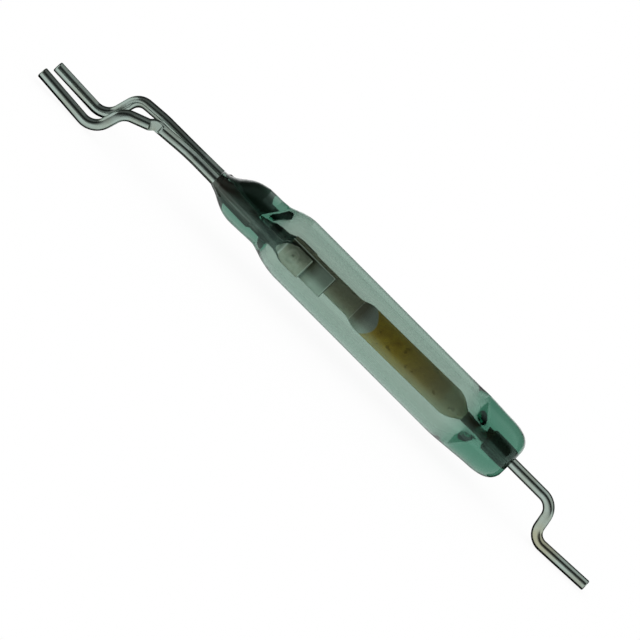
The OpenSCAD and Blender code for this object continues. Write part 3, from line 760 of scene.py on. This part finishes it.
bright = add(tree, "ShaderNodeMapRange", {"Value": marks, "From Min": 0.3, "From Max": 0.7})
strip = add(tree, "ShaderNodeMix", {SHARE: bright, FROM: "B9BEB7", TO: "CED4CE"}, **COLOURS)
# Painted shade: the strip is browner and darker beside the paddle's end, and fades back to plain strip a
# little beyond it.
brown_shade = add(tree, "ShaderNodeMix", {SHARE: bright, FROM: "766E5C", TO: "867E6C"}, **COLOURS)
past_brown_shade = add(tree, "ShaderNodeMapRange", {"Value": x, "From Min": BROWN_SHADE_EDGE[0], "From Max": BROWN_SHADE_EDGE[1]})
strip = add(tree, "ShaderNodeMix", {SHARE: past_brown_shade, FROM: brown_shade, TO: strip}, **COLOURS)
# Painted shade: the strip is darker over its upper half.
toned = add(tree, "ShaderNodeMapRange", {"Value": z, "From Min": -0.38, "From Max": -0.14})
painted_shade_tint = add(tree, "ShaderNodeMix", {SHARE: toned, FROM: "FFFFFF", TO: "D4D6D4"}, **COLOURS)
strip = add(tree, "ShaderNodeMix", {SHARE: 1.0, FROM: strip, TO: painted_shade_tint}, **COLOURS, **TINTING)
# Painted shadow: a dark band on the strip just beyond the paddle's end.
paddle_shadow = add(tree, "ShaderNodeMapRange",
            {"Value": x, "From Min": PADDLE_SHADOW_EDGE[0], "From Max": PADDLE_SHADOW_EDGE[1], "To Max": 0.7})
strip = add(tree, "ShaderNodeMix", {SHARE: paddle_shadow, FROM: strip, TO: "3E3A2C"}, **COLOURS)
# Painted highlights: pale bands along the long edges and across the rounded end.
height = add(tree, "ShaderNodeMath", {0: z, 1: PAD_DROP}, operation="ADD")
height = add(tree, "ShaderNodeMath", {0: height}, operation="ABSOLUTE")
side_highlight = add(tree, "ShaderNodeMapRange", {"Value": height, "From Min": SIDE_HIGHLIGHT_EDGE[0], "From Max": SIDE_HIGHLIGHT_EDGE[1]})
end_highlight = add(tree, "ShaderNodeMapRange",
              {"Value": x, "From Min": END_HIGHLIGHT_EDGE[0], "From Max": END_HIGHLIGHT_EDGE[1]})
end_shade = add(tree, "ShaderNodeMapRange", {"Value": x, "From Min": END_SHADE_EDGE[0], "From Max": END_SHADE_EDGE[1]})
edge_highlights = add(tree, "ShaderNodeMath", {0: side_highlight, 1: end_highlight}, operation="MAXIMUM")
strip = add(tree, "ShaderNodeMix", {SHARE: edge_highlights, FROM: strip, TO: "DDE0DA"}, **COLOURS)
# Painted shade on the last part of the rounded end, past its painted highlight.
strip = add(tree, "ShaderNodeMix", {SHARE: end_shade, FROM: strip, TO: "2E2C24"}, **COLOURS)
rough = add(tree, "ShaderNodeMath", {0: marks, 1: 0.16, 2: 0.3}, operation="MULTIPLY_ADD")
surface = add(tree, "ShaderNodeBsdfPrincipled", {"Base Color": strip, "Roughness": rough, "Metallic": 1.0})
add(tree, "ShaderNodeOutputMaterial", {"Surface": surface})

pad_middle = -REED_FACE - PAD_THICK / 2
rings = []
for x in spread(PAD_START + PAD_EDGE, PAD_START + PAD_LENGTH - PAD_EDGE, PAD_STEP):
    ring = [Vector((x, pad_middle - a, b - PAD_DROP)) for a, b in section(PAD_WIDTH, PAD_THICK, WIRE_SIDES)]
    rings.append((x, ring))
rings = rounded_end(rings[0], PAD_START, pad_middle, PAD_EDGE) + rings
rings += rounded_end(rings[-1], PAD_START + PAD_LENGTH, pad_middle, PAD_EDGE)[::-1]
pad = wire_mesh("welded_contact_pad", rings, pad_metal)
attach(pad, "root")
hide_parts("nc_contact_pad")

# The common lead and its reed. One nickel-iron wire: bent as a gull wing outside, round through the seal,
# then rolled into a thin gilt spring and a thicker contact blade that swings between the two paddles.
REED_TIP = -3.825
BLADE_START = -0.675  # where the blade ends and widens to the spring
SPRING_START = -0.065
SPRING_END = 4.245
ROUND_START = 5.08  # where the wire is round again
BLADE = (0.84, 0.17)  # width and thickness
SPRING = (1.14, 0.12)
SHOULDER = 1.5  # above 1 the spring narrows first slowly and then fast
REED_STEP = 0.05  # between rings of the reed
COMMON_RISE = 0.1  # of the wire's middle above the capsule's at the seal
RISE_BOW = 1.8  # above 1 the reed bows a little below the straight line from its tip to its root


def reed_rise(x):
    """Height of the reed's middle at x."""
    return COMMON_RISE * ((min(x, ROUND_START) - REED_TIP) / (ROUND_START - REED_TIP)) ** RISE_BOW


# Nickel-iron wire again. Its rolled spring is plated with thin gold, worn brown in places and paler towards
# the seal, and the blade with a hard grey-buff contact metal. Outside the glass it is tinned.
WORN_PATCH = 0.4545  # size of the places where the gold is worn
SPOT = 0.222  # spacing of the dark spots on the gold
GRIT = 0.0625  # grain of the platings: real ones are finer, and this is as coarse as shows
GILT_EDGE = (0.44, 0.5)  # where the gold starts, at the middle of the spring
GILT_CURVE = 1.1  # how much its edge curves
FLARE_EDGE = (-0.52, -0.46)  # where the blade's plating ends
ROLL_LINE = -0.46  # place of the pale line across the spring's start
ROOT_EDGE = (5.05, 5.1)  # where the plating ends at the root
SEAL_EDGE = (6.1, 6.3)  # where the oxide is in the seal
BLUNT_EDGE = (7.32, 7.35)  # where the glass ends and the tin starts
common_finish, tree = finish_named("tinned wire with a gilt spring and a plated blade")
tin, tin_rough, grain = drawn_tin(tree)
place = add(tree, "ShaderNodeAttribute", out="Vector", attribute_name="place")
x = add(tree, "ShaderNodeSeparateXYZ", {0: place}, "X")
z = add(tree, "ShaderNodeSeparateXYZ", {0: place}, "Z")
clouds = add(tree, "ShaderNodeTexNoise",
             {"Vector": place, "Scale": 1 / WORN_PATCH, "Detail": 5.0, "Roughness": 0.65})
grit = add(tree, "ShaderNodeTexNoise", {"Vector": place, "Scale": 1 / GRIT, "Detail": 3.0, "Roughness": 0.7})
grainy = add(tree, "ShaderNodeMapRange", {"Value": grit, "From Min": 0.3, "From Max": 0.7})
blade = add(tree, "ShaderNodeMix", {SHARE: grainy, FROM: "ABA48D", TO: "A09985"}, **COLOURS)
# The gold wears to brown in patches and thins towards the seal in two steps.
worn = add(tree, "ShaderNodeMapRange", {"Value": clouds, "From Min": 0.42, "From Max": 0.68, "To Max": 0.6})
gilt = add(tree, "ShaderNodeMix", {SHARE: worn, FROM: "C9A642", TO: "A47B35"}, **COLOURS)
thin = add(tree, "ShaderNodeMapRange", {"Value": x, "From Min": 1.6, "From Max": 3.4})
gilt = add(tree, "ShaderNodeMix", {SHARE: thin, FROM: gilt, TO: "B9A474"}, **COLOURS)
thinner = add(tree, "ShaderNodeMapRange", {"Value": x, "From Min": 3.2, "From Max": 4.2})
gilt = add(tree, "ShaderNodeMix", {SHARE: thinner, FROM: gilt, TO: "B2AB8B"}, **COLOURS)
# Between the blade and the gold the flared start of the spring is bare, dark at first and then bright.
widening = add(tree, "ShaderNodeMapRange", {"Value": x, "From Min": -0.25, "From Max": 0.15})
flare = add(tree, "ShaderNodeMix", {SHARE: widening, FROM: "847A6C", TO: "B4B4AE"}, **COLOURS)
on_flare = add(tree, "ShaderNodeMapRange",
               {"Value": x, "From Min": FLARE_EDGE[0], "From Max": FLARE_EDGE[1]})
colour = add(tree, "ShaderNodeMix", {SHARE: on_flare, FROM: blade, TO: flare}, **COLOURS)
squared = add(tree, "ShaderNodeMath", {0: z, 1: z}, operation="MULTIPLY")
arc = add(tree, "ShaderNodeMath", {0: squared, 1: GILT_CURVE, 2: x}, operation="MULTIPLY_ADD")
on_gilt = add(tree, "ShaderNodeMapRange", {"Value": arc, "From Min": GILT_EDGE[0], "From Max": GILT_EDGE[1]})
colour = add(tree, "ShaderNodeMix", {SHARE: on_gilt, FROM: colour, TO: gilt}, **COLOURS)
# Dust specks lie all over, dark spots on the gold, and a pale line where the rolling started.
specks = add(tree, "ShaderNodeMapRange", {"Value": grit, "From Min": 0.5, "From Max": 0.8, "To Max": 0.25})
colour = add(tree, "ShaderNodeMix", {SHARE: specks, FROM: colour, TO: "5A5548"}, **COLOURS)
spots = add(tree, "ShaderNodeTexNoise",
            {"Vector": place, "Scale": 1 / SPOT, "Detail": 1.0, "Roughness": 0.5})
spotted = add(tree, "ShaderNodeMapRange",
              {"Value": spots, "From Min": 0.67, "From Max": 0.73, "To Max": 0.4})
spotted = add(tree, "ShaderNodeMath", {0: spotted, 1: on_gilt}, operation="MULTIPLY")
colour = add(tree, "ShaderNodeMix", {SHARE: spotted, FROM: colour, TO: "55421E"}, **COLOURS)
from_line = add(tree, "ShaderNodeMath", {0: x, 1: ROLL_LINE}, operation="SUBTRACT")
from_line = add(tree, "ShaderNodeMath", {0: from_line}, operation="ABSOLUTE")
on_line = add(tree, "ShaderNodeMapRange",
              {"Value": from_line, "From Min": 0.03, "From Max": 0.01, "To Max": 0.45})
colour = add(tree, "ShaderNodeMix", {SHARE: on_line, FROM: colour, TO: "E0DACB"}, **COLOURS)
# Painted shade: the spring and blade are darker towards their upper edge.
toned = add(tree, "ShaderNodeMapRange", {"Value": z, "From Min": -0.25, "From Max": 0.17})
painted_shade_tint = add(tree, "ShaderNodeMix", {SHARE: toned, FROM: "FFFFFF", TO: "DCDCE0"}, **COLOURS)
colour = add(tree, "ShaderNodeMix", {SHARE: 1.0, FROM: colour, TO: painted_shade_tint}, **COLOURS, **TINTING)
# The oxide: plain brown in the cavity, streaked in the seal.
root = add(tree, "ShaderNodeMix", {SHARE: grainy, FROM: "4C362B", TO: "5E463A"}, **COLOURS)
skin = oxide_skin(tree, grain)
sealed_in = add(tree, "ShaderNodeMapRange", {"Value": x, "From Min": SEAL_EDGE[0], "From Max": SEAL_EDGE[1]})
skin = add(tree, "ShaderNodeMix", {SHARE: sealed_in, FROM: root, TO: skin}, **COLOURS)
oxidised = add(tree, "ShaderNodeMapRange", {"Value": x, "From Min": ROOT_EDGE[0], "From Max": ROOT_EDGE[1]})
colour = add(tree, "ShaderNodeMix", {SHARE: oxidised, FROM: colour, TO: skin}, **COLOURS)
# The tin outside is yellowed under the first bend.
heel = add(tree, "ShaderNodeMapRange", {"Value": x, "From Min": 9.4, "From Max": 9.7})
past_heel = add(tree, "ShaderNodeMapRange", {"Value": x, "From Min": 11.2, "From Max": 10.2})
low = add(tree, "ShaderNodeMapRange", {"Value": z, "From Min": -0.5, "From Max": -1.1, "To Max": 0.8})
yellowed = add(tree, "ShaderNodeMath", {0: heel, 1: past_heel}, operation="MULTIPLY")
yellowed = add(tree, "ShaderNodeMath", {0: yellowed, 1: low}, operation="MULTIPLY")
tin = add(tree, "ShaderNodeMix", {SHARE: yellowed, FROM: tin, TO: "A9A88C"}, **COLOURS)
outside = add(tree, "ShaderNodeMapRange", {"Value": x, "From Min": BLUNT_EDGE[0], "From Max": BLUNT_EDGE[1]})
colour = add(tree, "ShaderNodeMix", {SHARE: outside, FROM: colour, TO: tin}, **COLOURS)
plain_rough = add(tree, "ShaderNodeMath", {0: grit, 1: 0.2, 2: 0.3}, operation="MULTIPLY_ADD")
rough = add(tree, "ShaderNodeMix", {SHARE: outside, FROM_NUMBER: plain_rough, TO_NUMBER: tin_rough})
plated = add(tree, "ShaderNodeMath", {0: 1.0, 1: oxidised}, operation="SUBTRACT")
metal = add(tree, "ShaderNodeMath", {0: plated, 1: outside}, operation="MAXIMUM")
surface = add(tree, "ShaderNodeBsdfPrincipled", {"Base Color": colour, "Roughness": rough, "Metallic": metal,
              "Specular Tint": "505050"})
add(tree, "ShaderNodeOutputMaterial", {"Surface": surface})

rings = []
for at in spread(REED_TIP, ROUND_START, REED_STEP):
    if at < SPRING_END:
        u = smooth((at - BLADE_START) / (SPRING_START - BLADE_START))
        width, thick = mix(BLADE[0], SPRING[0], u), mix(BLADE[1], SPRING[1], u)
    else:
        u = (at - SPRING_END) / (ROUND_START - SPRING_END)
        thick = mix(SPRING[1], WIRE, smooth(u))
        width = max(thick, mix(SPRING[0], WIRE, u ** SHOULDER))
    ring = [Vector((at, -a, reed_rise(at) + b)) for a, b in section(width, thick, WIRE_SIDES)]
    rings.append((at, ring))
COMMON_CORNERS = [(ROUND_START, 0, COMMON_RISE), (9.515, 0, COMMON_RISE), (9.775, 0, -1.31),
                  (12.385, 0, -1.18)]
COMMON_RADII = [0, 0.65, 0.55, 0]
rings += round_wire(filled(bent_path(COMMON_CORNERS, COMMON_RADII), WIRE_STEP), ROUND_START, False)
reed = wire_mesh("common_wire_and_reed", rings, common_finish)
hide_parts("common_lead", "common_reed")
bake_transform(reed)
